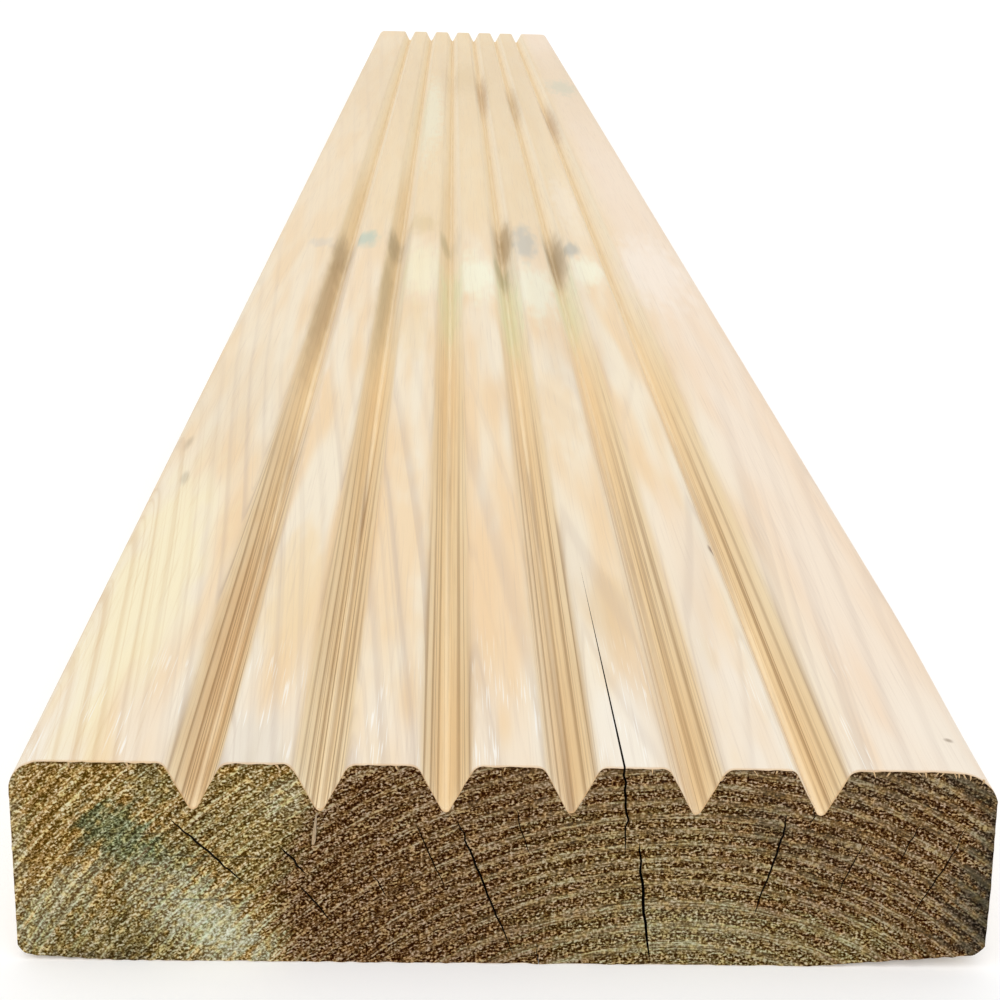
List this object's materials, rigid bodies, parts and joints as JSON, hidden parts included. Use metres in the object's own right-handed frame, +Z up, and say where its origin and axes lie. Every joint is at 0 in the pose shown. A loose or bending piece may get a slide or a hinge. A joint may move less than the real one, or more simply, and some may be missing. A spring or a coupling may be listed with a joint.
{
  "type": "decking board",
  "caption": "Long planed softwood board with rounded edges and V-grooves along its upper face, laid side by side on joists as outdoor deck flooring.",
  "frame": {"origin": "middle of the flat underside, on the floor that the board lies on", "axes": "+X across the board, +Y along its length and its grooves, +Z up out of the grooved face"},
  "size_m": [0.12, 1.2, 0.027],
  "materials": {
    "treated_softwood": "planed, unfinished, pressure-treated; ends sawn and weathered"
  },
  "bodies": {
    "root": {"deck_board": "treated_softwood"}
  },
  "joints": []
}
